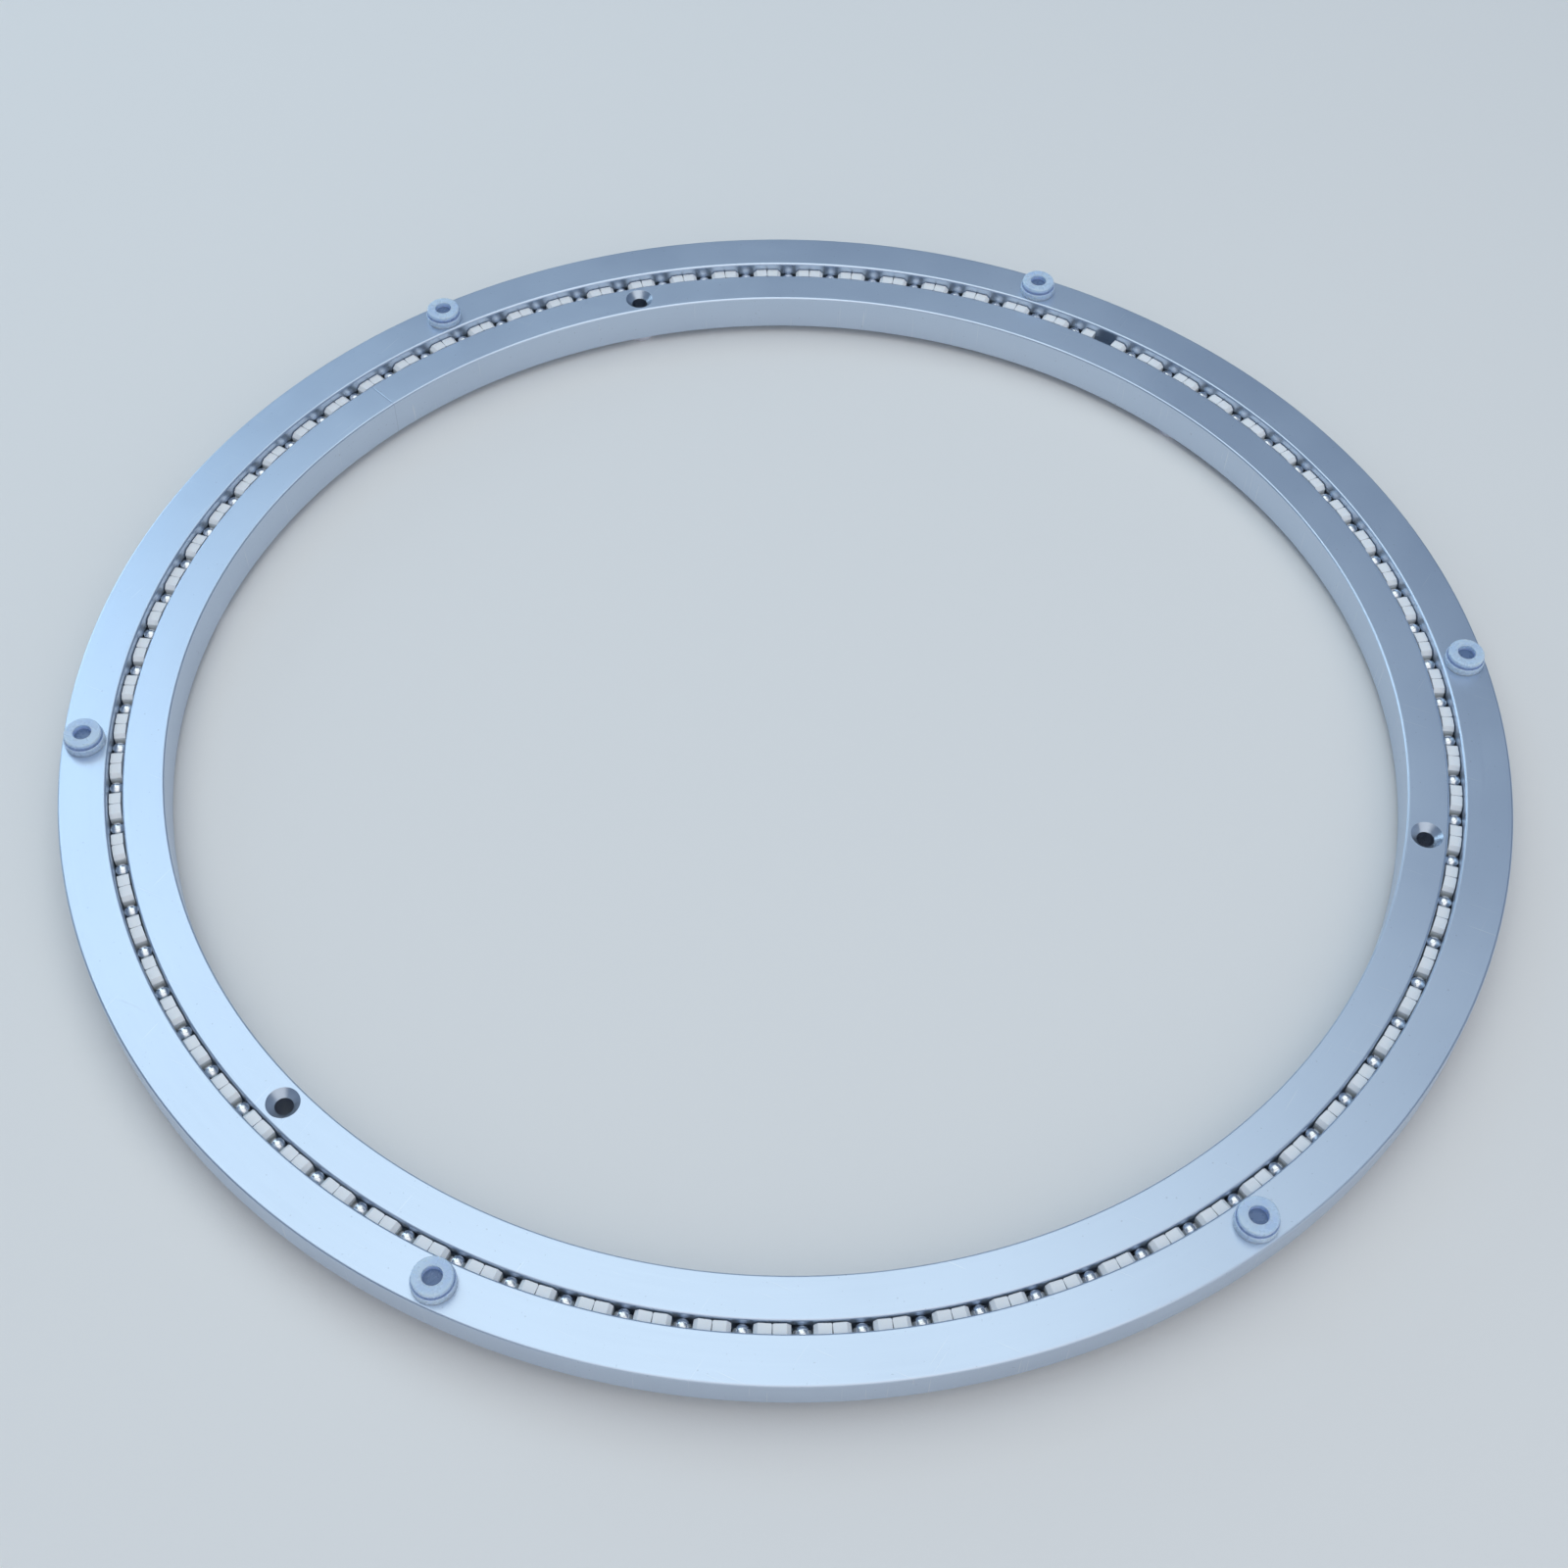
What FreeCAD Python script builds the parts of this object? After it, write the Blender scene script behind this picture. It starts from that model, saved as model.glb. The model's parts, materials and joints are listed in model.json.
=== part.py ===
import FreeCAD, Part
import os
import Sketcher

# Ball-bearing turntable ring for a dining table, 500 mm across.
# The inner ring stands on six rubber feet and is screwed down through three countersunk holes.
# The outer ring carries six rubber pads and turns on one row of steel balls, and each ball sits
# in a loose plastic U between the two rings.
# Millimetres. The origin is on the ring's axis in the plane that the feet stand on, +Z up.

SIZES = {
    # Inner ring
    "bore_diameter": 430,
    "inner_ring_width": 14.2,
    "inner_ring_height": 15,
    # Outer ring, whose top stands above the inner ring's top by the step
    "race_slot_width": 4.8,
    "outer_ring_width": 16,
    "outer_ring_height": 12,
    "ring_step": 2.2,
    "rim_rounding": 0.8,
    # Ball row, with the balls' centres below the inner ring's top
    "ball_diameter": 6,
    "ball_centre_depth": 4.9,
    "race_clearance": 0.05,
    # Ball retainers
    "retainer_length": 17.2,
    "retainer_width": 3.9,
    "retainer_height": 8.5,
    "retainer_top_depth": 0.7,
    "retainer_spacing": 0.23,
    "retainer_corner_rounding": 0.5,
    "pocket_clearance": 0.2,
    "pocket_lead_in": 1.3,
    "pocket_corner_rounding": 0.8,
    "row_first_angle": 60.7,
    "sector_count": 6,
    # Screw holes in the inner ring
    "screw_count": 3,
    "screw_first_angle": 106.8,
    "screw_hole_diameter": 6,
    "countersink_diameter": 10.8,
    "countersink_angle": 90,
    # Feet under the inner ring
    "foot_count": 6,
    "foot_height": 3,
    "foot_diameter": 11,
    "foot_spigot_diameter": 8,
    "foot_spigot_length": 2.5,
    "foot_bore_clearance": 0.25,
    "foot_rounding": 0.6,
    # Pads on the outer ring
    "pad_count": 6,
    "pad_first_angle": 5.9,
    "pad_height": 5,
    "pad_flange_diameter": 13.8,
    "pad_flange_height": 2.6,
    "pad_flange_rounding": 0.5,
    "pad_top_diameter": 12.6,
    "pad_top_rounding": 0.5,
    "pad_recess_diameter": 6.3,
    "pad_recess_depth": 2,
    "pad_spigot_diameter": 6,
    "pad_spigot_length": 3.5,
    # Rubber spigots in their seats
    "seat_clearance": 0.05,
    "seat_end_clearance": 0.3,
}

document = FreeCAD.newDocument("turntable_ring")
sheet = document.addObject("Spreadsheet::Sheet", "Sizes")
for row, (alias, number) in enumerate(SIZES.items(), start=1):
    sheet.set(f"A{row}", alias)
    sheet.set(f"B{row}", str(number))
    sheet.setAlias(f"B{row}", alias)
document.recompute()

# Places that several pieces share, as formulas of the sheet's cells
BORE_RADIUS = "(Sizes.bore_diameter / 2)"
INNER_RACE_RADIUS = f"({BORE_RADIUS} + Sizes.inner_ring_width)"
OUTER_RACE_RADIUS = f"({INNER_RACE_RADIUS} + Sizes.race_slot_width)"
OUTER_RADIUS = f"({OUTER_RACE_RADIUS} + Sizes.outer_ring_width)"
PITCH_RADIUS = f"({INNER_RACE_RADIUS} + Sizes.race_slot_width / 2)"
SCREW_CIRCLE_RADIUS = f"({BORE_RADIUS} + Sizes.inner_ring_width / 2)"
PAD_CIRCLE_RADIUS = f"({OUTER_RACE_RADIUS} + Sizes.outer_ring_width / 2)"

INNER_RING_TOP = "(Sizes.foot_height + Sizes.inner_ring_height)"
OUTER_RING_TOP = f"({INNER_RING_TOP} + Sizes.ring_step)"
OUTER_RING_BOTTOM = f"({OUTER_RING_TOP} - Sizes.outer_ring_height)"
BALL_CENTRE = f"({INNER_RING_TOP} - Sizes.ball_centre_depth)"
BALL_RADIUS = "(Sizes.ball_diameter / 2)"

RETAINER_PITCH = "(Sizes.retainer_length + Sizes.retainer_spacing)"
PITCH_ANGLE = f"({RETAINER_PITCH} / {PITCH_RADIUS} * 180 / pi)"
ROW_COUNT = f"floor(360 / {PITCH_ANGLE})"
SECTOR_SIZE = f"ceil({ROW_COUNT} / Sizes.sector_count)"


def value(formula):
    """The number that a formula of the sheet's cells gives."""
    found = sheet.evalExpression(formula)
    return float(getattr(found, "Value", found))


def new_body(label):
    body = document.addObject("PartDesign::Body", label)
    body.Label = label
    return body


def origin_part(body, role):
    """One of the body's own origin planes or axes."""
    return next(part for part in body.Origin.OriginFeatures if part.Role == role)


def new_sketch(body, name, plane, offset="0"):
    """An empty sketch on one of the body's origin planes, raised along the plane's normal."""
    sketch = body.newObject("Sketcher::SketchObject", name)
    sketch.AttachmentSupport = (origin_part(body, plane), "")
    sketch.MapMode = "FlatFace"
    sketch.setExpression("AttachmentOffset.Base.z", offset)
    return sketch


def bind(sketch, kind, geometry, point, formula):
    """Ties one coordinate of a sketched point, or a circle's radius, to a formula."""
    if kind == "Radius":
        index = sketch.addConstraint(Sketcher.Constraint(kind, geometry, value(formula)))
    else:
        constraint = Sketcher.Constraint(kind, -1, 1, geometry, point, value(formula))
        index = sketch.addConstraint(constraint)
    sketch.setExpression(f"Constraints[{index}]", formula)


def draw_outline(sketch, corners):
    """A closed outline of straight lines through corners given as pairs of formulas."""
    places = [FreeCAD.Vector(value(across), value(up), 0) for across, up in corners]
    following = places[1:] + places[:1]
    for start, end in zip(places, following):
        sketch.addGeometry(Part.LineSegment(start, end), False)
    for line in range(len(corners)):
        after = (line + 1) % len(corners)
        sketch.addConstraint(Sketcher.Constraint("Coincident", line, 2, after, 1))
    for line, (across, up) in enumerate(corners):
        bind(sketch, "DistanceX", line, 1, across)
        bind(sketch, "DistanceY", line, 1, up)


def draw_circle(sketch, across, up, radius):
    centre = FreeCAD.Vector(value(across), value(up), 0)
    circle = Part.Circle(centre, FreeCAD.Vector(0, 0, 1), value(radius))
    geometry = sketch.addGeometry(circle, False)
    bind(sketch, "DistanceX", geometry, 3, across)
    bind(sketch, "DistanceY", geometry, 3, up)
    bind(sketch, "Radius", geometry, 0, radius)


def revolve(body, name, sketch, kind="PartDesign::Revolution"):
    """Turns a sketch in the XZ plane all the way round the body's Z axis."""
    feature = body.newObject(kind, name)
    feature.Profile = sketch
    feature.ReferenceAxis = (sketch, ["V_Axis"])
    feature.Angle = 360
    document.recompute()
    return feature


def cut_hole(body, name, radius, angle, height, diameter, depth, upward):
    """A round pocket whose mouth is at a height, beside the axis at a radius and an angle."""
    sketch = new_sketch(body, f"{name}_mouth", "XY_Plane", height)
    draw_circle(sketch, f"{radius} * cos({angle})", f"{radius} * sin({angle})", f"{diameter} / 2")
    pocket = body.newObject("PartDesign::Pocket", name)
    pocket.Profile = sketch
    pocket.setExpression("Length", depth)
    pocket.Reversed = upward
    document.recompute()
    return pocket


def repeat_round(body, name, feature, count):
    """Equal copies of a feature all round the body's Z axis."""
    pattern = body.newObject("PartDesign::PolarPattern", name)
    pattern.Originals = [feature]
    pattern.Axis = (origin_part(body, "Z_Axis"), [""])
    pattern.Angle = 360
    pattern.setExpression("Occurrences", count)
    body.Tip = pattern
    document.recompute()


def round_edges(body, name, base, radius, wanted):
    """Rounds the edges of a feature that the test picks out."""
    edges = [f"Edge{n}" for n, edge in enumerate(base.Shape.Edges, start=1) if wanted(edge)]
    fillet = body.newObject("PartDesign::Fillet", name)
    fillet.Base = (base, edges)
    fillet.setExpression("Radius", radius)
    document.recompute()
    return fillet


def is_circle(edge):
    return isinstance(edge.Curve, Part.Circle)


def circle_at(radius, height):
    """A test for the round edge about the Z axis with this radius at this height."""
    wide = value(radius)
    high = value(height)

    def wanted(edge):
        if not is_circle(edge):
            return False
        here = edge.Curve
        return abs(here.Radius - wide) < 0.001 and abs(here.Center.z - high) < 0.001

    return wanted


def make_ring(label, inside, outside, bottom, top):
    """A rolled flat ring with rounded rims and a round race for the balls in one wall."""
    body = new_body(label)
    section = new_sketch(body, f"{label}_section", "XZ_Plane")
    draw_outline(section, [(inside, bottom), (outside, bottom), (outside, top), (inside, top)])
    ring = revolve(body, f"{label}_blank", section)
    round_edges(body, f"{label}_rims", ring, "Sizes.rim_rounding", is_circle)

    race = new_sketch(body, f"{label}_race_section", "XZ_Plane")
    draw_circle(race, PITCH_RADIUS, BALL_CENTRE, f"({BALL_RADIUS} + Sizes.race_clearance)")
    revolve(body, f"{label}_race", race, "PartDesign::Groove")
    return body


def make_inner_ring():
    body = make_ring("inner_ring", BORE_RADIUS, INNER_RACE_RADIUS, "Sizes.foot_height", INNER_RING_TOP)

    seat = cut_hole(
        body, "foot_seat", SCREW_CIRCLE_RADIUS, "Sizes.screw_first_angle", "Sizes.foot_height",
        "(Sizes.foot_spigot_diameter + 2 * Sizes.seat_clearance)",
        "Sizes.foot_spigot_length + Sizes.seat_end_clearance", True,
    )
    repeat_round(body, "foot_seats", seat, "Sizes.foot_count")

    mouth = new_sketch(body, "screw_hole_mouth", "XY_Plane", INNER_RING_TOP)
    draw_circle(
        mouth,
        f"{SCREW_CIRCLE_RADIUS} * cos(Sizes.screw_first_angle)",
        f"{SCREW_CIRCLE_RADIUS} * sin(Sizes.screw_first_angle)",
        "Sizes.screw_hole_diameter / 2",
    )
    document.recompute()
    hole = body.newObject("PartDesign::Hole", "screw_hole")
    hole.Profile = mouth
    document.recompute()
    hole.Threaded = False
    hole.DepthType = "ThroughAll"
    hole.setExpression("Diameter", "Sizes.screw_hole_diameter")
    hole.HoleCutType = "Countersink"
    hole.HoleCutCustomValues = True
    hole.setExpression("HoleCutDiameter", "Sizes.countersink_diameter")
    hole.setExpression("HoleCutCountersinkAngle", "Sizes.countersink_angle")
    document.recompute()
    repeat_round(body, "screw_holes", hole, "Sizes.screw_count")
    return body


def make_outer_ring():
    body = make_ring("outer_ring", OUTER_RACE_RADIUS, OUTER_RADIUS, OUTER_RING_BOTTOM, OUTER_RING_TOP)
    seat = cut_hole(
        body, "pad_seat", PAD_CIRCLE_RADIUS, "Sizes.pad_first_angle", OUTER_RING_TOP,
        "(Sizes.pad_spigot_diameter + 2 * Sizes.seat_clearance)",
        "Sizes.pad_spigot_length + Sizes.seat_end_clearance", False,
    )
    repeat_round(body, "pad_seats", seat, "Sizes.pad_count")
    return body


def place_round(body, radius, angle, height):
    """Stands a body made on its own axis beside the ring's axis."""
    body.setExpression("Placement.Base.x", f"{radius} * cos({angle})")
    body.setExpression("Placement.Base.y", f"{radius} * sin({angle})")
    body.setExpression("Placement.Base.z", height)


def make_foot(number):
    """A rubber ring under the inner ring, with a spigot in a seat and a way through for a screw."""
    body = new_body(f"foot_{number + 1}")
    section = new_sketch(body, f"foot_section_{number + 1}", "XZ_Plane")
    bore = "(Sizes.screw_hole_diameter / 2 + Sizes.foot_bore_clearance)"
    spigot = "Sizes.foot_spigot_diameter / 2"
    rim = "Sizes.foot_diameter / 2"
    draw_outline(section, [
        (bore, "-Sizes.foot_height"),
        (rim, "-Sizes.foot_height"),
        (rim, "0"),
        (spigot, "0"),
        (spigot, "Sizes.foot_spigot_length"),
        (bore, "Sizes.foot_spigot_length"),
    ])
    blank = revolve(body, f"foot_blank_{number + 1}", section)
    round_edges(body, f"foot_edge_{number + 1}", blank, "Sizes.foot_rounding",
                circle_at(rim, "-Sizes.foot_height"))
    angle = f"(Sizes.screw_first_angle + {number} * 360 / Sizes.foot_count)"
    place_round(body, SCREW_CIRCLE_RADIUS, angle, "Sizes.foot_height")
    return body


def make_pad(number):
    """A rubber button on the outer ring: a flange, a narrower top with a recess, and a spigot."""
    body = new_body(f"pad_{number + 1}")
    section = new_sketch(body, f"pad_section_{number + 1}", "XZ_Plane")
    spigot = "Sizes.pad_spigot_diameter / 2"
    flange = "Sizes.pad_flange_diameter / 2"
    top = "Sizes.pad_top_diameter / 2"
    recess = "Sizes.pad_recess_diameter / 2"
    draw_outline(section, [
        ("0", "-Sizes.pad_spigot_length"),
        (spigot, "-Sizes.pad_spigot_length"),
        (spigot, "0"),
        (flange, "0"),
        (flange, "Sizes.pad_flange_height"),
        (top, "Sizes.pad_flange_height"),
        (top, "Sizes.pad_height"),
        (recess, "Sizes.pad_height"),
        (recess, "Sizes.pad_height - Sizes.pad_recess_depth"),
        ("0", "Sizes.pad_height - Sizes.pad_recess_depth"),
    ])
    blank = revolve(body, f"pad_blank_{number + 1}", section)
    rim = round_edges(body, f"pad_flange_edge_{number + 1}", blank, "Sizes.pad_flange_rounding",
                      circle_at(flange, "Sizes.pad_flange_height"))
    round_edges(body, f"pad_top_edge_{number + 1}", rim, "Sizes.pad_top_rounding",
                circle_at(top, "Sizes.pad_height"))
    angle = f"(Sizes.pad_first_angle + {number} * 360 / Sizes.pad_count)"
    place_round(body, PAD_CIRCLE_RADIUS, angle, OUTER_RING_TOP)
    return body


def repeat_in_sector(body, name, sector):
    """Copies of a whole piece along one sector of the row, at the retainers' pitch."""
    count = f"min({SECTOR_SIZE}; {ROW_COUNT} - {sector} * {SECTOR_SIZE})"
    pattern = body.newObject("PartDesign::PolarPattern", name)
    pattern.TransformMode = "Whole shape"
    pattern.Axis = (origin_part(body, "Z_Axis"), [""])
    pattern.setExpression("Occurrences", count)
    pattern.setExpression("Angle", f"{PITCH_ANGLE} * ({count} - 1)")
    body.Tip = pattern
    body.setExpression("Placement.Rotation.Angle",
                       f"Sizes.row_first_angle + {sector} * {SECTOR_SIZE} * {PITCH_ANGLE}")
    document.recompute()


def make_retainers(sector):
    """Plastic U pieces, each with one pocket open to the top and to both races."""
    body = new_body(f"ball_retainers_{sector + 1}")
    section = new_sketch(body, f"retainer_side_{sector + 1}", "YZ_Plane", PITCH_RADIUS)
    end = "Sizes.retainer_length / 2"
    top = f"({INNER_RING_TOP} - Sizes.retainer_top_depth)"
    bottom = f"({top} - Sizes.retainer_height)"
    pocket = f"({BALL_RADIUS} + Sizes.pocket_clearance)"
    floor = f"({BALL_CENTRE} - {pocket})"
    mouth = f"({pocket} + Sizes.pocket_lead_in)"
    shoulder = f"({top} - Sizes.pocket_lead_in)"
    draw_outline(section, [
        (f"-{end}", bottom), (end, bottom), (end, top), (mouth, top), (pocket, shoulder),
        (pocket, floor), (f"-{pocket}", floor), (f"-{pocket}", shoulder), (f"-{mouth}", top),
        (f"-{end}", top),
    ])
    block = body.newObject("PartDesign::Pad", f"retainer_block_{sector + 1}")
    block.Profile = section
    block.setExpression("Length", "Sizes.retainer_width")
    block.Midplane = True
    document.recompute()

    def is_pocket_corner(edge):
        here = edge.CenterOfMass
        return abs(here.z - value(floor)) < 0.001 and abs(abs(here.y) - value(pocket)) < 0.001

    def is_end_corner(edge):
        here = edge.CenterOfMass
        middle = (value(top) + value(bottom)) / 2
        return abs(here.z - middle) < 0.001 and abs(abs(here.y) - value(end)) < 0.001

    cupped = round_edges(body, f"retainer_pocket_{sector + 1}", block,
                         "Sizes.pocket_corner_rounding", is_pocket_corner)
    round_edges(body, f"retainer_ends_{sector + 1}", cupped,
                "Sizes.retainer_corner_rounding", is_end_corner)
    repeat_in_sector(body, f"retainer_row_{sector + 1}", sector)
    return body


def make_balls(sector):
    """Steel balls, one for each retainer."""
    body = new_body(f"balls_{sector + 1}")
    ball = body.newObject("PartDesign::AdditiveSphere", f"ball_{sector + 1}")
    ball.setExpression("Radius", BALL_RADIUS)
    ball.setExpression("Placement.Base.x", PITCH_RADIUS)
    ball.setExpression("Placement.Base.z", BALL_CENTRE)
    document.recompute()
    repeat_in_sector(body, f"ball_row_{sector + 1}", sector)
    return body


parts = [make_inner_ring(), make_outer_ring()]
parts += [make_foot(number) for number in range(int(value("Sizes.foot_count")))]
parts += [make_pad(number) for number in range(int(value("Sizes.pad_count")))]
parts += [make_retainers(sector) for sector in range(int(value("Sizes.sector_count")))]
parts += [make_balls(sector) for sector in range(int(value("Sizes.sector_count")))]
document.recompute()

for item in document.Objects:
    if {"Invalid", "Error"} & set(item.State):
        raise RuntimeError(f"{item.Label} did not build: {item.State}")
for part in parts:
    if part.Shape.isNull() or not part.Shape.isValid():
        raise RuntimeError(f"{part.Label} has no valid shape")

os.makedirs("parts", exist_ok=True)
for part in parts:
    part.Shape.exportStep(f"parts/{part.Label}.step")
    print(part.Label, len(part.Shape.Solids), round(part.Shape.Volume, 1))
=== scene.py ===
import json
import math
import bpy
from mathutils import Matrix, Vector


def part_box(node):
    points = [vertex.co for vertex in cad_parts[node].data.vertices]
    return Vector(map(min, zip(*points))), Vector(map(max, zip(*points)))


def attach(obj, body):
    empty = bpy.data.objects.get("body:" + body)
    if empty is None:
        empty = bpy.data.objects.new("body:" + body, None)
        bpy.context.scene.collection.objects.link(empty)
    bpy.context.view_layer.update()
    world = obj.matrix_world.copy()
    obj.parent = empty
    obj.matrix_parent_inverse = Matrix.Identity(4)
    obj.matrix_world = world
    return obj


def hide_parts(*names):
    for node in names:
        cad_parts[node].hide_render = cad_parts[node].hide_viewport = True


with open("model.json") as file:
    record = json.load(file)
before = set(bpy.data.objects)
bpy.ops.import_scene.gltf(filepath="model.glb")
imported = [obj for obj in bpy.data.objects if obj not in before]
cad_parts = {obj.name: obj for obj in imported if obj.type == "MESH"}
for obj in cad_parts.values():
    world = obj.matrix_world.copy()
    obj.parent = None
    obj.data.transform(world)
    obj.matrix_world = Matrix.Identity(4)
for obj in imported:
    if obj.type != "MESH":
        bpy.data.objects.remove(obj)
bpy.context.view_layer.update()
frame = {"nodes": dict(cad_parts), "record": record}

# Lengths are in metres and angles in degrees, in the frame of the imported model.

# Camera, at the photograph's viewing angle
CAMERA_ELEVATION = 52.73
CAMERA_ROLL = 1.25
CAMERA_DISTANCE = 0.772
CAMERA_AIM = Vector((-0.0007, -0.0233, 0.0025))
CAMERA_LENS_MM = 50.65

# Studio
FLOOR_RADIUS = 4.0
FLOOR_COLOUR = (0.88, 0.86, 0.83)
DOME_LOW_COLOUR = (0.14, 0.20, 0.30)
DOME_HIGH_COLOUR = (0.52, 0.58, 0.66)
DOME_DARK_BELOW = 0.62
BACKDROP_COLOUR = (0.66, 0.70, 0.74)
COOL_LIGHT = (0.84, 0.92, 0.90)
BLUE_LIGHT = (0.64, 0.85, 1.0)
SKY_LIGHT = (0.54, 0.79, 1.0)
WARM_LIGHT = (1.0, 0.97, 0.92)
KEY_PLACE = Vector((-0.20, 0.50, 1.65))
KEY_SIZE = 1.6
KEY_WATTS = 7.4
SIDE_PLACE = Vector((-1.3, 1.5, 1.65))
SIDE_SIZE = 0.8
SIDE_WATTS = 3.9
WINDOW_PLACE = Vector((-1.6, 1.35, 0.55))
WINDOW_SIZE = 1.0
WINDOW_WATTS = 6.5
FILL_PLACE = Vector((0.5, -1.4, 1.4))
FILL_SIZE = 3.0
FILL_WATTS = 20.0

# Rings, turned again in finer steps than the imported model's
RING_STEPS = 720
HOLE_STEPS = 64
ROUNDING_STEPS = 6
RACE_STEPS = 10
RIM_ROUNDING = 0.0008
RACE_CLEARANCE = 0.00005
COUNTERSINK_RADIUS = 0.0054
FOOT_SEAT_RADIUS = 0.00405
FOOT_SEAT_DEPTH = 0.0028
PAD_SEAT_RADIUS = 0.00305
PAD_SEAT_DEPTH = 0.0038
CUT_MARGIN = 0.0004
SHARP_ANGLE = 30.0

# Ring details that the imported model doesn't hold
SEAM_ANGLE = 136.7
SEAM_WIDTH = 0.00025
RIM_WEAR_WIDTH = 0.0007

# Pad details, and how softly their painted shade ends
PAD_RECESS_RADIUS = 0.0032
PAD_RECESS_DEPTH = 0.002
PAD_RECESS_FADE = 0.0003
PAD_FLOOR_FADE = 0.0005
PAD_TOP_RADIUS = 0.0063
PAD_TOP_FADE = 0.0004
PAD_FLANGE_HEIGHT = 0.0026
PAD_GROOVE_SHADE_HEIGHT = 0.0006
PAD_GROOVE_SHADE_END = 0.0014
EDGE_FADE = 0.0001

# Metal surface, with scales in waves per metre and depths of relief in metres.
# A share says how far a colour goes towards the one laid over it.
DRAWN_SCALE = 1500.0
DRAWN_WAVES_PER_RADIAN = 6.0
DRAWN_DEPTH = 0.000012
DRAWN_SHARE = 0.25
DRAWN_ROUGHNESS = 0.06
GRAIN_SCALE = 5200.0
GRAIN_DEPTH = 0.000008
METAL_CLOUD_SCALE = 16.0
METAL_ROUGHNESS = (0.31, 0.38)
SPECK_SCALE = 1000.0
SPECK_SHARE = 0.5
SCRATCH_STRETCH = (45.0, 2400.0, 45.0)
SCRATCH_DIRECTIONS = (24.0, -58.0)
SCRATCH_SHIFTS = (3.1, 7.7)
SCRATCH_DEPTH = 0.000010
SCRATCH_SHARE = 0.5
RIM_SHARE = 0.6
SEAM_SHARE = 0.6
SEAM_DEPTH = 0.00005
TURNING_RADIANS_PER_METRE = 30000.0
TURNING_DEPTH = 0.000008
TURNED_SMOOTHER_BY = 0.08

# Surfaces of rubber, plastic, steel and floor
RUBBER_CLOUD_SCALE = 130.0
RUBBER_HAZE_SCALE = 500.0
RUBBER_HAZE_DEPTH = 0.000003
RUBBER_ROUGHNESS = (0.24, 0.34)
PLASTIC_FLOW_SCALE = 420.0
PLASTIC_TEXTURE_SCALE = 3800.0
PLASTIC_TEXTURE_DEPTH = 0.00002
PLASTIC_ROUGHNESS = (0.38, 0.52)
PLASTIC_SHADE_STARTS_BELOW = 0.0006
PLASTIC_SHADE_FULL_BELOW = 0.0035
PLASTIC_SHADE_SHARES = (0.55, 1.0)
STEEL_FILM_SCALE = 700.0
STEEL_GRAIN_SCALE = 9000.0
STEEL_GRAIN_DEPTH = 0.000002
STEEL_ROUGHNESS = (0.14, 0.26)
OIL_SHARE = 0.35
FLOOR_SIDES = 96
FLOOR_FIBRE_SCALE = 900.0
FLOOR_FIBRE_DEPTH = 0.00003
FLOOR_ROUGHNESS = 0.85

# Levels of a noise between which a surface changes
MIDDLE_LEVELS = (0.3, 0.7)
WIDE_LEVELS = (0.2, 0.8)
SPARSE_LEVELS = (0.80, 0.86)
FLOW_LEVELS = (0.25, 0.6)
FILM_LEVELS = (0.35, 0.75)
OIL_LEVELS = (0.52, 0.72)

# Colours
ANODISED = (0.61, 0.695, 0.81)
ANODISED_DARK = (0.575, 0.66, 0.78)
BARE_METAL = (0.78, 0.82, 0.87)
# Painted shade: the countersinks are coloured darker than the ring around them
COUNTERSINK_SHADE = (0.54, 0.60, 0.68)
SEAM_COLOUR = (0.42, 0.48, 0.58)
SPECK_COLOUR = (0.40, 0.46, 0.55)
PAD_RUBBER = (0.58, 0.72, 0.97)
PAD_RUBBER_PALE = (0.66, 0.79, 0.99)
# Painted shade below the rim of each pad's top disc
PAD_GROOVE_SHADE = (0.32, 0.43, 0.66)
# Painted shade on the floor of each pad's recess, over the drilled seat
PAD_FLOOR_SHADE = (0.17, 0.25, 0.41)
FOOT_RUBBER = (0.66, 0.66, 0.74)
FOOT_RUBBER_PALE = (0.76, 0.76, 0.83)
RETAINER_WHITE = (0.90, 0.915, 0.93)
# Painted shade for the retainers further down in the race
RETAINER_SHADED = (0.74, 0.77, 0.76)
BALL_STEEL = (0.77, 0.78, 0.80)
BALL_GREASE = (0.50, 0.52, 0.50)


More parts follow.
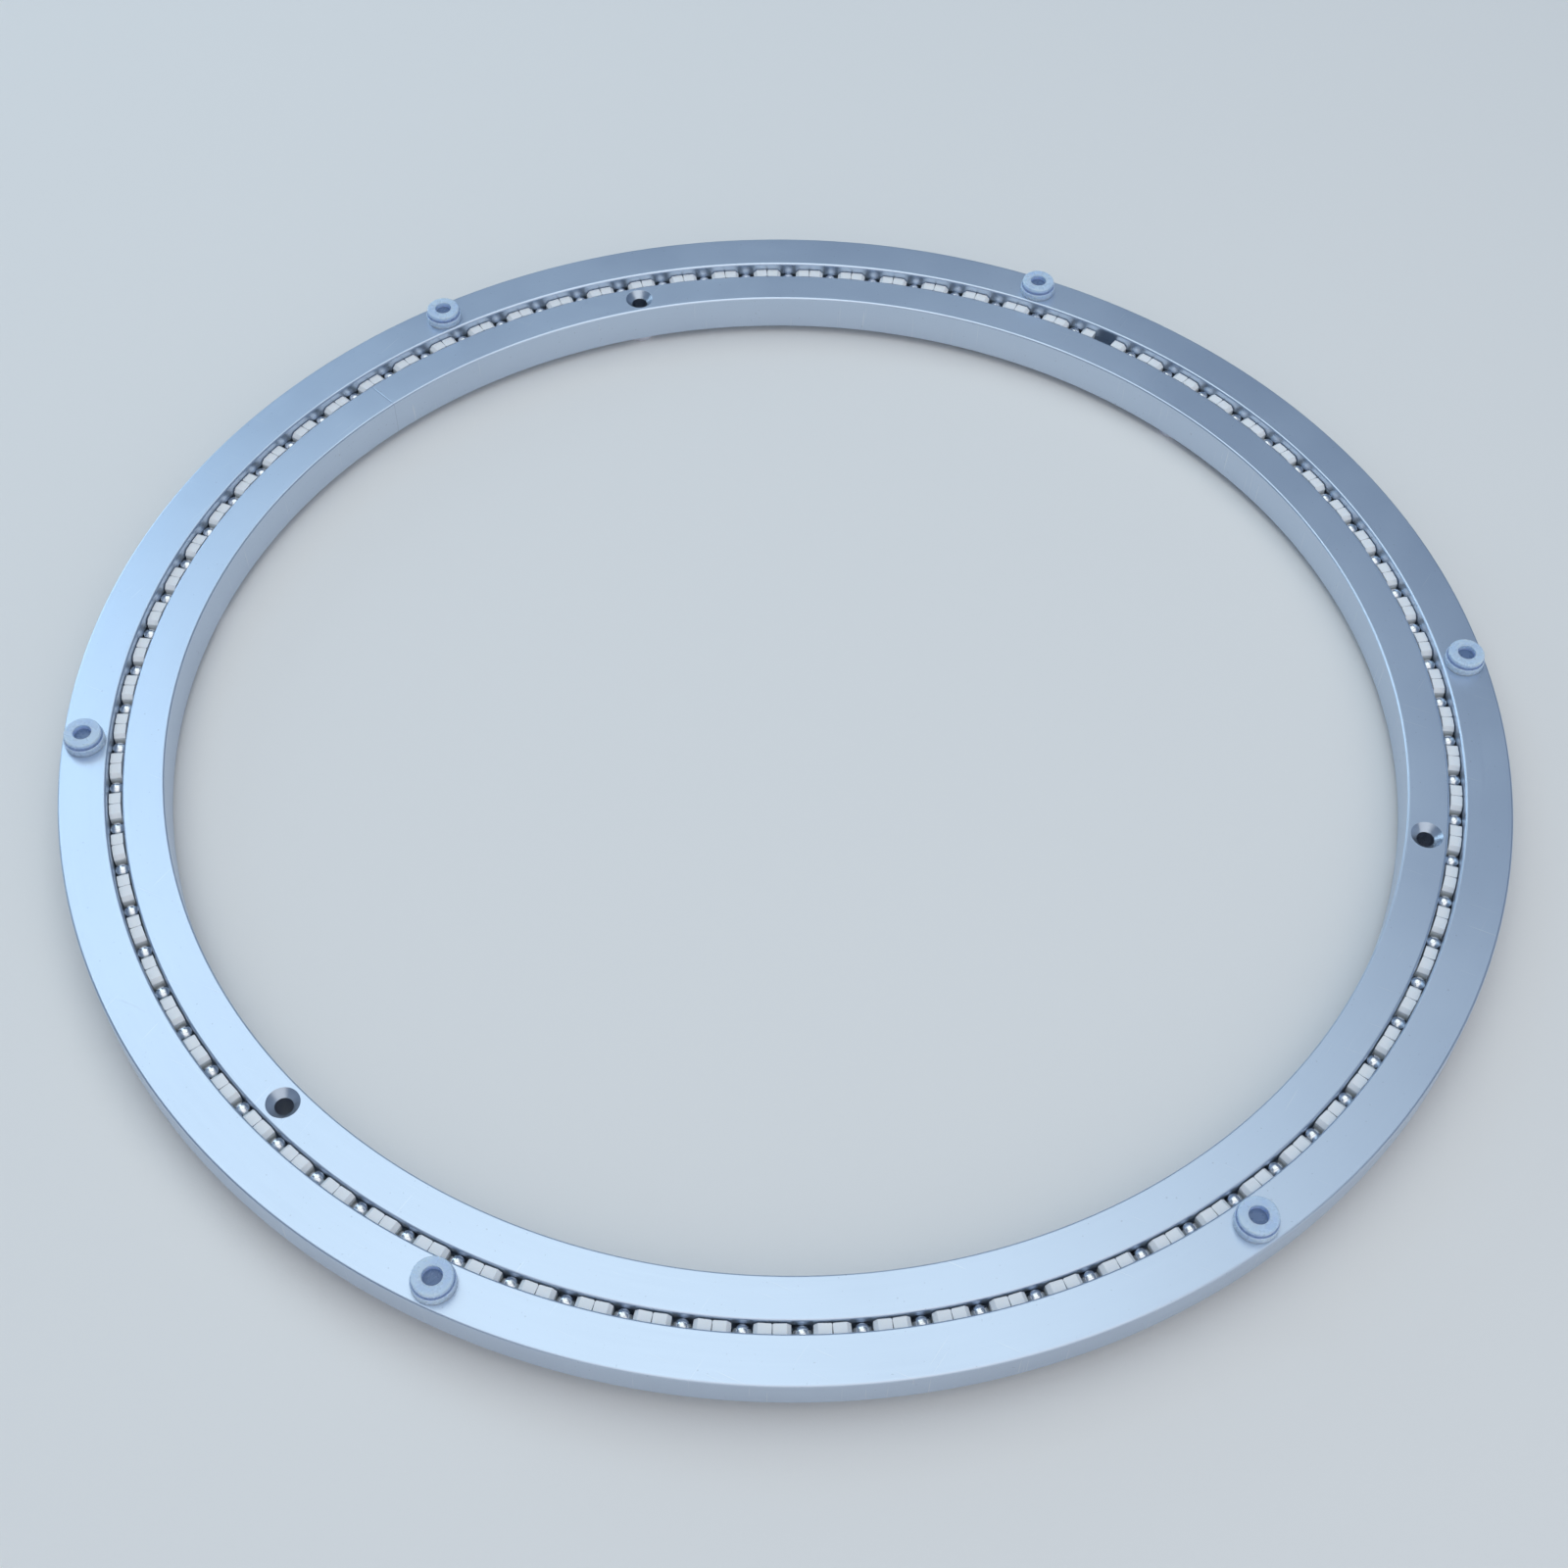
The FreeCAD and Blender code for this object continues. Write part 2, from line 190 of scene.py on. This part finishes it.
class Finish:
    """A node material, put together one node at a time."""

    def __init__(self, name):
        self.material = bpy.data.materials.new(name)
        self.material.use_nodes = True
        self.tree = self.material.node_tree
        self.shader = self.tree.nodes["Principled BSDF"]

    def feed(self, socket, value):
        """Links value to the socket where it is another node's output, or else sets it there."""
        if isinstance(value, bpy.types.NodeSocket):
            self.tree.links.new(value, socket)
        else:
            socket.default_value = value

    def add(self, kind, inputs, **settings):
        """A new node with its settings, and its inputs by name or number."""
        node = self.tree.nodes.new(kind)
        for name, value in settings.items():
            setattr(node, name, value)
        for socket, value in inputs.items():
            self.feed(node.inputs[socket], value)
        return node

    def math(self, operation, *values):
        node = self.add("ShaderNodeMath", dict(enumerate(values)), operation=operation)
        return node.outputs["Value"]

    def times(self, first, second):
        return self.math("MULTIPLY", first, second)

    def length(self, vector):
        node = self.add("ShaderNodeVectorMath", {0: vector}, operation="LENGTH")
        return node.outputs["Value"]

    def distance(self, first, second):
        node = self.add("ShaderNodeVectorMath", {0: first, 1: second}, operation="DISTANCE")
        return node.outputs["Value"]

    def join(self, x, y, z):
        return self.add("ShaderNodeCombineXYZ", {"X": x, "Y": y, "Z": z}).outputs["Vector"]

    def noise(self, place, scale, detail=2.0):
        """Smooth noise from 0 to 1, with scale in waves per unit of place."""
        inputs = {"Vector": place, "Scale": scale, "Detail": detail}
        return self.add("ShaderNodeTexNoise", inputs).outputs["Fac"]

    def fade(self, value, start, end, low=0.0, high=1.0):
        """Goes smoothly from low to high as value goes from start to end."""
        inputs = {"Value": value, "From Min": start, "From Max": end}
        inputs.update({"To Min": low, "To Max": high})
        node = self.add("ShaderNodeMapRange", inputs, interpolation_type="SMOOTHSTEP")
        return node.outputs["Result"]

    def blend(self, share, first, second):
        """A colour that is first where share is 0 and second where it is 1."""
        node = self.add("ShaderNodeMix", {"Factor": share}, data_type="RGBA")
        for socket, colour in (("A", first), ("B", second)):
            target = next(s for s in node.inputs if s.name == socket and s.type == "RGBA")
            linked = isinstance(colour, bpy.types.NodeSocket)
            self.feed(target, colour if linked else (*colour, 1.0))
        return next(s for s in node.outputs if s.type == "RGBA")

    def bump(self, height, depth, below=None):
        """Turns a height from 0 to 1 into relief of that depth, over an earlier relief."""
        inputs = {"Height": height, "Distance": depth, "Strength": 1.0}
        if below is not None:
            inputs["Normal"] = below
        return self.add("ShaderNodeBump", inputs).outputs["Normal"]

    def shade(self, **inputs):
        """Sets the surface's own inputs, with a name's spaces as low lines."""
        for name, value in inputs.items():
            if name == "Base_Color" and isinstance(value, tuple):
                value = (*value, 1.0)
            self.feed(self.shader.inputs[name.replace("_", " ")], value)

    def place(self):
        """The surface point's place, which moves with its piece."""
        return self.add("ShaderNodeTexCoord", {}).outputs["Object"]

    def place_parts(self):
        return self.add("ShaderNodeSeparateXYZ", {"Vector": self.place()}).outputs

    def round_place(self):
        """The point's distance from the ring's axis, its angle round it and its height."""
        parts = self.place_parts()
        angle = self.math("ARCTAN2", parts["Y"], parts["X"])
        radius = self.length(self.join(parts["X"], parts["Y"], 0.0))
        return radius, angle, parts["Z"]

    def from_nearest(self, radius, angle, circle, first_angle, count):
        """The point's distance from the nearest of the equally spaced axes on a circle."""
        half_pitch = math.pi / count
        from_first = self.math("SUBTRACT", angle, first_angle)
        offset = self.math("WRAP", from_first, half_pitch, -half_pitch)
        across = self.times(radius, self.math("SINE", offset))
        along = self.times(radius, self.math("COSINE", offset))
        inward = self.math("SUBTRACT", along, circle)
        return self.length(self.join(across, inward, 0.0))


def round_position(node):
    """The circle on which a small round node stands, and its angle in radians."""
    low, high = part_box(node)
    centre = (low + high) / 2
    return math.hypot(centre.x, centre.y), math.atan2(centre.y, centre.x)


def ring_section(node, inner_radius):
    """The inner and outer radius and the lowest and highest level of a ring."""
    low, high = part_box(node)
    return inner_radius, high.x, low.z, high.z


def rim_wear(finish, radius, height, section):
    """A share that is 1 on the ring's four rims and 0 away from them."""
    inner, outer, bottom, top = section
    here = finish.join(radius, height, 0.0)
    nearest = None
    for rim_radius in (inner, outer):
        for rim_height in (bottom, top):
            distance = finish.distance(here, (rim_radius, rim_height, 0.0))
            nearest = distance if nearest is None else finish.math("MINIMUM", nearest, distance)
    return finish.fade(nearest, RIM_WEAR_WIDTH, 0.0)


def scratches(finish, direction, shift):
    """Sparse hairline scratches that run roughly one way."""
    inputs = {"Vector": finish.place(), "Rotation": (0.0, 0.0, math.radians(direction))}
    inputs["Location"] = (shift, shift, 0.0)
    rotated = finish.add("ShaderNodeMapping", inputs).outputs["Vector"]
    inputs = {"Vector": rotated, "Scale": SCRATCH_STRETCH}
    stretched = finish.add("ShaderNodeMapping", inputs).outputs["Vector"]
    return finish.fade(finish.noise(stretched, 1.0, detail=0.0), *SPARSE_LEVELS)


def anodised_metal(name, section, seam=False, screw_holes=None):
    """Satin anodised aluminium, drawn along the ring, with worn rims."""
    finish = Finish(name)
    radius, angle, height = finish.round_place()

    # Drawn lines along the ring, a fine satin grain and slow changes of tone
    drawn_place = finish.join(
        finish.times(radius, DRAWN_SCALE),
        finish.times(angle, DRAWN_WAVES_PER_RADIAN),
        finish.times(height, DRAWN_SCALE),
    )
    drawn = finish.noise(drawn_place, 1.0)
    grain = finish.noise(finish.place(), GRAIN_SCALE, detail=1.0)
    cloud = finish.noise(finish.place(), METAL_CLOUD_SCALE, detail=4.0)
    specks = finish.noise(finish.place(), SPECK_SCALE, detail=0.0)
    specks = finish.fade(specks, *SPARSE_LEVELS)
    hairs = finish.math("MAXIMUM", *(
        scratches(finish, direction, shift)
        for direction, shift in zip(SCRATCH_DIRECTIONS, SCRATCH_SHIFTS)
    ))
    rims = rim_wear(finish, radius, height, section)

    colour = finish.blend(finish.fade(cloud, *MIDDLE_LEVELS), ANODISED_DARK, ANODISED)
    colour = finish.blend(finish.times(drawn, DRAWN_SHARE), colour, ANODISED_DARK)
    scratched = finish.times(hairs, SCRATCH_SHARE)
    worn = finish.math("MAXIMUM", scratched, finish.times(rims, RIM_SHARE))
    colour = finish.blend(worn, colour, BARE_METAL)
    colour = finish.blend(finish.times(specks, SPECK_SHARE), colour, SPECK_COLOUR)
    rough = finish.fade(cloud, *WIDE_LEVELS, *METAL_ROUGHNESS)
    rough = finish.math("ADD", rough, finish.times(drawn, DRAWN_ROUGHNESS))
    relief = finish.bump(drawn, DRAWN_DEPTH)
    relief = finish.bump(grain, GRAIN_DEPTH, relief)
    relief = finish.bump(hairs, -SCRATCH_DEPTH, relief)

    if seam:
        from_seam = finish.math("SUBTRACT", angle, math.radians(SEAM_ANGLE))
        across = finish.math("ABSOLUTE", finish.times(radius, from_seam))
        line = finish.fade(across, SEAM_WIDTH, 0.0)
        colour = finish.blend(finish.times(line, SEAM_SHARE), colour, SEAM_COLOUR)
        relief = finish.bump(line, -SEAM_DEPTH, relief)

    if screw_holes:
        circle, first_angle, count = screw_holes
        distance = finish.from_nearest(radius, angle, circle, first_angle, count)
        cut = finish.fade(
            distance, COUNTERSINK_RADIUS + EDGE_FADE, COUNTERSINK_RADIUS - EDGE_FADE
        )
        turning = finish.math("SINE", finish.times(distance, TURNING_RADIANS_PER_METRE))
        # Painted shade: the countersink cones are coloured darker than the ring around them
        colour = finish.blend(cut, colour, COUNTERSINK_SHADE)
        rough = finish.math("SUBTRACT", rough, finish.times(cut, TURNED_SMOOTHER_BY))
        relief = finish.bump(finish.times(cut, turning), TURNING_DEPTH, relief)

    finish.shade(Base_Color=colour, Roughness=rough, Normal=relief, Metallic=1.0)
    return finish.material


def clear_rubber(name, deep, pale, pad=None):
    """Soft clear rubber, milky in the bulk.

    A pad, given by its centre and two levels, gets painted shade: it is darker in its recess and
    below its top disc.
    """
    finish = Finish(name)
    cloud = finish.noise(finish.place(), RUBBER_CLOUD_SCALE, detail=1.0)
    haze = finish.noise(finish.place(), RUBBER_HAZE_SCALE, detail=1.0)
    colour = finish.blend(finish.fade(cloud, *MIDDLE_LEVELS), deep, pale)
    rough = finish.fade(haze, *MIDDLE_LEVELS, *RUBBER_ROUGHNESS)
    if pad:
        centre, flange_level, floor_level = pad
        parts = finish.place_parts()
        flat = finish.join(parts["X"], parts["Y"], 0.0)
        distance = finish.distance(flat, (centre.x, centre.y, 0.0))

        above = finish.fade(parts["Z"], flange_level - EDGE_FADE, flange_level)
        below = finish.fade(
            parts["Z"], flange_level + PAD_GROOVE_SHADE_END, flange_level + PAD_GROOVE_SHADE_HEIGHT
        )
        outside = finish.fade(
            distance, PAD_TOP_RADIUS - PAD_TOP_FADE, PAD_TOP_RADIUS - EDGE_FADE
        )
        near = finish.fade(distance, PAD_TOP_RADIUS + PAD_TOP_FADE, PAD_TOP_RADIUS + EDGE_FADE)
        # Painted shade in a band below the rim of the top disc
        groove_shade = finish.times(finish.times(above, below), outside)
        colour = finish.blend(finish.times(groove_shade, near), colour, PAD_GROOVE_SHADE)

        # Painted shade on the floor of the recess
        inside = finish.fade(distance, PAD_RECESS_RADIUS, PAD_RECESS_RADIUS - PAD_RECESS_FADE)
        low = finish.fade(parts["Z"], floor_level + PAD_FLOOR_FADE, floor_level + EDGE_FADE)
        colour = finish.blend(finish.times(inside, low), colour, PAD_FLOOR_SHADE)
    finish.shade(
        Base_Color=colour,
        Roughness=rough,
        Normal=finish.bump(haze, RUBBER_HAZE_DEPTH),
        IOR=1.46,
        Transmission_Weight=0.1,
        Subsurface_Weight=0.8,
        Subsurface_Radius=(0.8, 0.9, 1.0),
        Subsurface_Scale=0.002,
    )
    return finish.material


def retainer_plastic(top):
    """Moulded natural white plastic with a faint flow pattern, and painted shade that greys it
    further down in the race.
    """
    finish = Finish("retainer_plastic")
    parts = finish.place_parts()
    flow = finish.noise(finish.place(), PLASTIC_FLOW_SCALE, detail=3.0)
    texture = finish.noise(finish.place(), PLASTIC_TEXTURE_SCALE, detail=2.0)
    # Painted shade: greyer further down in the race, in patches that follow the flow noise
    depth = finish.fade(
        parts["Z"], top - PLASTIC_SHADE_STARTS_BELOW, top - PLASTIC_SHADE_FULL_BELOW
    )
    shaded = finish.times(depth, finish.fade(flow, *FLOW_LEVELS, *PLASTIC_SHADE_SHARES))
    colour = finish.blend(shaded, RETAINER_WHITE, RETAINER_SHADED)
    finish.shade(
        Base_Color=colour,
        Roughness=finish.fade(flow, *MIDDLE_LEVELS, *PLASTIC_ROUGHNESS),
        Normal=finish.bump(texture, PLASTIC_TEXTURE_DEPTH),
        IOR=1.5,
        Subsurface_Weight=0.25,
        Subsurface_Radius=(1.0, 0.9, 0.8),
        Subsurface_Scale=0.001,
    )
    return finish.material


def ball_steel():
    """Polished hardened steel with traces of oil."""
    finish = Finish("ball_steel")
    film = finish.noise(finish.place(), STEEL_FILM_SCALE, detail=3.0)
    oil = finish.fade(film, *OIL_LEVELS)
    colour = finish.blend(finish.times(oil, OIL_SHARE), BALL_STEEL, BALL_GREASE)
    rough = finish.fade(film, *FILM_LEVELS, *STEEL_ROUGHNESS)
    grain = finish.noise(finish.place(), STEEL_GRAIN_SCALE)
    finish.shade(
        Base_Color=colour,
        Roughness=rough,
        Normal=finish.bump(grain, STEEL_GRAIN_DEPTH),
        Metallic=1.0,
    )
    return finish.material


def floor_paper():
    """Plain pale studio paper."""
    finish = Finish("floor_paper")
    fibres = finish.noise(finish.place(), FLOOR_FIBRE_SCALE, detail=3.0)
    relief = finish.bump(fibres, FLOOR_FIBRE_DEPTH)
    finish.shade(Base_Color=FLOOR_COLOUR, Roughness=FLOOR_ROUGHNESS, Normal=relief)
    return finish.material


def arc(centre, radius, start, end, steps):
    """The points of a round stretch of an outline, between two angles."""
    turns = [math.radians(start + (end - start) * step / steps) for step in range(steps + 1)]
    return [
        (centre[0] + radius * math.cos(turn), centre[1] + radius * math.sin(turn))
        for turn in turns
    ]


def ring_outline(section, race_centre, race_radius):
    """A ring's section, anticlockwise, with rounded rims and the race in one wall."""
    inner, outer, bottom, top = section
    near, far = inner + RIM_ROUNDING, outer - RIM_ROUNDING
    low, high = bottom + RIM_ROUNDING, top - RIM_ROUNDING
    in_outer_wall = race_centre[0] > outer
    wall, facing = (outer, 180.0) if in_outer_wall else (inner, 0.0)
    half = math.degrees(math.acos(abs(race_centre[0] - wall) / race_radius))
    race = arc(race_centre, race_radius, facing + half, facing - half, RACE_STEPS)

    outline = arc((far, low), RIM_ROUNDING, -90.0, 0.0, ROUNDING_STEPS)
    outline += race if in_outer_wall else []
    outline += arc((far, high), RIM_ROUNDING, 0.0, 90.0, ROUNDING_STEPS)
    outline += arc((near, high), RIM_ROUNDING, 90.0, 180.0, ROUNDING_STEPS)
    outline += [] if in_outer_wall else race
    outline += arc((near, low), RIM_ROUNDING, 180.0, 270.0, ROUNDING_STEPS)
    return outline


def turned(outline, steps, middle=(0.0, 0.0), closed=True):
    """The vertices and faces of an outline of radii and levels, turned round an upright axis.

    The axis goes through middle. An outline that isn't closed runs upward and gets a flat cap
    at either end.
    """
    turns = [2 * math.pi * step / steps for step in range(steps)]
    vertices = [
        (middle[0] + radius * math.cos(turn), middle[1] + radius * math.sin(turn), level)
        for radius, level in outline for turn in turns
    ]
    faces = []
    for band in range(len(outline) if closed else len(outline) - 1):
        low, high = band * steps, (band + 1) % len(outline) * steps
        for step in range(steps):
            after = (step + 1) % steps
            faces.append((low + step, low + after, high + after, high + step))
    if not closed:
        faces.append(tuple(reversed(range(steps))))
        faces.append(tuple(range(len(vertices) - steps, len(vertices))))
    return vertices, faces


def new_piece(name, vertices, faces):
    mesh = bpy.data.meshes.new(name)
    mesh.from_pydata(vertices, [], faces)
    piece = bpy.data.objects.new(name, mesh)
    bpy.context.scene.collection.objects.link(piece)
    return piece


def drill(ring, circle, first_angle, count, outline):
    """Cuts equally spaced round holes, whose radii and levels outline gives, out of a ring."""
    vertices, faces = [], []
    for number in range(count):
        turn = first_angle + 2 * math.pi * number / count
        middle = (circle * math.cos(turn), circle * math.sin(turn))
        hole_vertices, hole_faces = turned(outline, HOLE_STEPS, middle, closed=False)
        faces += [tuple(len(vertices) + corner for corner in face) for face in hole_faces]
        vertices += hole_vertices
    cutter = new_piece("cutter", vertices, faces)

    modifier = ring.modifiers.new("cut", "BOOLEAN")
    modifier.object = cutter
    modifier.solver = "EXACT"
    cut = ring.evaluated_get(bpy.context.evaluated_depsgraph_get())
    ring.data = bpy.data.meshes.new_from_object(cut)
    ring.modifiers.clear()
    bpy.data.objects.remove(cutter)


def put_in_place(ring, node, body, material):
    """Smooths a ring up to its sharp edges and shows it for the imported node."""
    ring.data.shade_smooth()
    ring.data.set_sharp_from_angle(angle=math.radians(SHARP_ANGLE))
    ring.modifiers.new("flat_faces", "WEIGHTED_NORMAL").keep_sharp = True
    ring.data.materials.clear()
    ring.data.materials.append(material)
    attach(ring, body)
    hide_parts(node)


def give(node, material):
    frame["nodes"][node].material_slots[0].material = material


def numbered(stem):
    return sorted(name for name in frame["nodes"] if name.startswith(stem))


def make_rings():
    """Both rings are one metal; the inner one shows its rolled seam and its cut countersinks."""
    mounts = {mount["name"]: mount for mount in frame["record"]["mounts"]}
    screws = mounts["screw_holes"]["dims"]
    screw_circle, foot_angle = round_position("foot_1")
    pad_circle, pad_angle = round_position("pad_1")
    inner_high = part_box("inner_ring")[1]
    outer_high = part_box("outer_ring")[1]
    inner_section = ring_section("inner_ring", 2 * screw_circle - inner_high.x)
    outer_section = ring_section("outer_ring", 2 * pad_circle - outer_high.x)

    ball_low, ball_high = (corner.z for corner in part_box("balls_1"))
    race_centre = ((inner_section[1] + outer_section[0]) / 2, (ball_low + ball_high) / 2)
    race_radius = (ball_high - ball_low) / 2 + RACE_CLEARANCE

    bottom, top = inner_section[2:]
    hole = screws["hole_r_mm"] / 1000
    sink_level = top - (COUNTERSINK_RADIUS - hole)
    foot_seat = [
        (FOOT_SEAT_RADIUS, bottom - CUT_MARGIN),
        (FOOT_SEAT_RADIUS, bottom + FOOT_SEAT_DEPTH),
    ]
    screw_hole = [
        (hole, bottom - CUT_MARGIN),
        (hole, sink_level),
        (COUNTERSINK_RADIUS + CUT_MARGIN, top + CUT_MARGIN),
    ]
    outline = ring_outline(inner_section, race_centre, race_radius)
    inner = new_piece("inner_ring_fine", *turned(outline, RING_STEPS))
    drill(inner, screw_circle, foot_angle, len(numbered("foot_")), foot_seat)
    drill(inner, screw_circle, foot_angle, screws["count"], screw_hole)
    screw_holes = (screw_circle, foot_angle, screws["count"])
    metal = anodised_metal("inner_ring_metal", inner_section, True, screw_holes)
    put_in_place(inner, "inner_ring", "base", metal)

    top = outer_section[3]
    pad_seat = [(PAD_SEAT_RADIUS, top - PAD_SEAT_DEPTH), (PAD_SEAT_RADIUS, top + CUT_MARGIN)]
    outline = ring_outline(outer_section, race_centre, race_radius)
    outer = new_piece("outer_ring_fine", *turned(outline, RING_STEPS))
    drill(outer, pad_circle, pad_angle, len(numbered("pad_")), pad_seat)
    metal = anodised_metal("outer_ring_metal", outer_section)
    put_in_place(outer, "outer_ring", "turntable", metal)


def finish_rubber():
    """Each pad's recess floor is painted dark: painted shade for the drilled seat below, which
    lies in shadow under the clear rubber.
    """
    seat_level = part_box("outer_ring")[1].z
    for node in numbered("pad_"):
        low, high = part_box(node)
        pad = ((low + high) / 2, seat_level + PAD_FLANGE_HEIGHT, high.z - PAD_RECESS_DEPTH)
        give(node, clear_rubber(f"{node}_rubber", PAD_RUBBER, PAD_RUBBER_PALE, pad))
    foot_rubber = clear_rubber("foot_rubber", FOOT_RUBBER, FOOT_RUBBER_PALE)
    for node in numbered("foot_"):
        give(node, foot_rubber)


def finish_ball_row():
    retainer_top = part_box("ball_retainers_1")[1].z
    plastic = retainer_plastic(retainer_top)
    steel = ball_steel()
    for node in numbered("ball_retainers_"):
        give(node, plastic)
    for node in numbered("balls_"):
        give(node, steel)


def lay_floor():
    bpy.ops.mesh.primitive_circle_add(
        vertices=FLOOR_SIDES, radius=FLOOR_RADIUS, fill_type="NGON"
    )
    floor = bpy.context.object
    floor.name = "floor"
    floor.data.materials.append(floor_paper())


def light_dome():
    """A plain soft sky that is brighter overhead, and pale where the camera sees it."""
    world = bpy.data.worlds.new("dome")
    world.use_nodes = True
    bpy.context.scene.world = world
    tree = world.node_tree
    direction = tree.nodes.new("ShaderNodeTexCoord").outputs["Generated"]
    parts = tree.nodes.new("ShaderNodeSeparateXYZ")
    ramp = tree.nodes.new("ShaderNodeMix")
    ramp.data_type = "RGBA"
    low, high = [s for s in ramp.inputs if s.type == "RGBA"]
    low.default_value = (*DOME_LOW_COLOUR, 1.0)
    high.default_value = (*DOME_HIGH_COLOUR, 1.0)
    rise = tree.nodes.new("ShaderNodeMapRange")
    rise.interpolation_type = "SMOOTHSTEP"
    rise.inputs["From Min"].default_value = DOME_DARK_BELOW
    tree.links.new(direction, parts.inputs["Vector"])
    tree.links.new(parts.outputs["Z"], rise.inputs["Value"])
    tree.links.new(rise.outputs["Result"], ramp.inputs["Factor"])
    shown = tree.nodes.new("ShaderNodeMix")
    shown.data_type = "RGBA"
    light, backdrop = [s for s in shown.inputs if s.type == "RGBA"]
    backdrop.default_value = (*BACKDROP_COLOUR, 1.0)
    seen = tree.nodes.new("ShaderNodeLightPath").outputs["Is Camera Ray"]
    tree.links.new(next(s for s in ramp.outputs if s.type == "RGBA"), light)
    tree.links.new(seen, shown.inputs["Factor"])
    colour = next(s for s in shown.outputs if s.type == "RGBA")
    tree.links.new(colour, tree.nodes["Background"].inputs["Color"])


def hang_lamp(name, place, size, watts, colour):
    """A square soft box that faces the middle of the ring."""
    lamp = bpy.data.lights.new(name, "AREA")
    lamp.shape = "SQUARE"
    lamp.size = size
    lamp.energy = watts
    lamp.color = colour
    holder = bpy.data.objects.new(name, lamp)
    holder.location = place
    holder.rotation_euler = (-place).to_track_quat("-Z", "Y").to_euler()
    bpy.context.scene.collection.objects.link(holder)


def set_camera():
    elevation = math.radians(CAMERA_ELEVATION)
    lens = bpy.data.cameras.new("camera")
    lens.lens = CAMERA_LENS_MM
    camera = bpy.data.objects.new("camera", lens)
    back = Vector((0.0, -math.cos(elevation), math.sin(elevation)))
    tilt = Matrix.Rotation(math.pi / 2 - elevation, 4, "X")
    roll = Matrix.Rotation(math.radians(CAMERA_ROLL), 4, "Z")
    camera.matrix_world = Matrix.Translation(CAMERA_AIM + back * CAMERA_DISTANCE) @ tilt @ roll
    bpy.context.scene.collection.objects.link(camera)
    bpy.context.scene.camera = camera


make_rings()
finish_rubber()
finish_ball_row()
lay_floor()
light_dome()
hang_lamp("key", KEY_PLACE, KEY_SIZE, KEY_WATTS, COOL_LIGHT)
hang_lamp("side", SIDE_PLACE, SIDE_SIZE, SIDE_WATTS, SKY_LIGHT)
hang_lamp("window", WINDOW_PLACE, WINDOW_SIZE, WINDOW_WATTS, BLUE_LIGHT)
hang_lamp("fill", FILL_PLACE, FILL_SIZE, FILL_WATTS, WARM_LIGHT)
set_camera()
bpy.context.scene.view_settings.view_transform = "Standard"
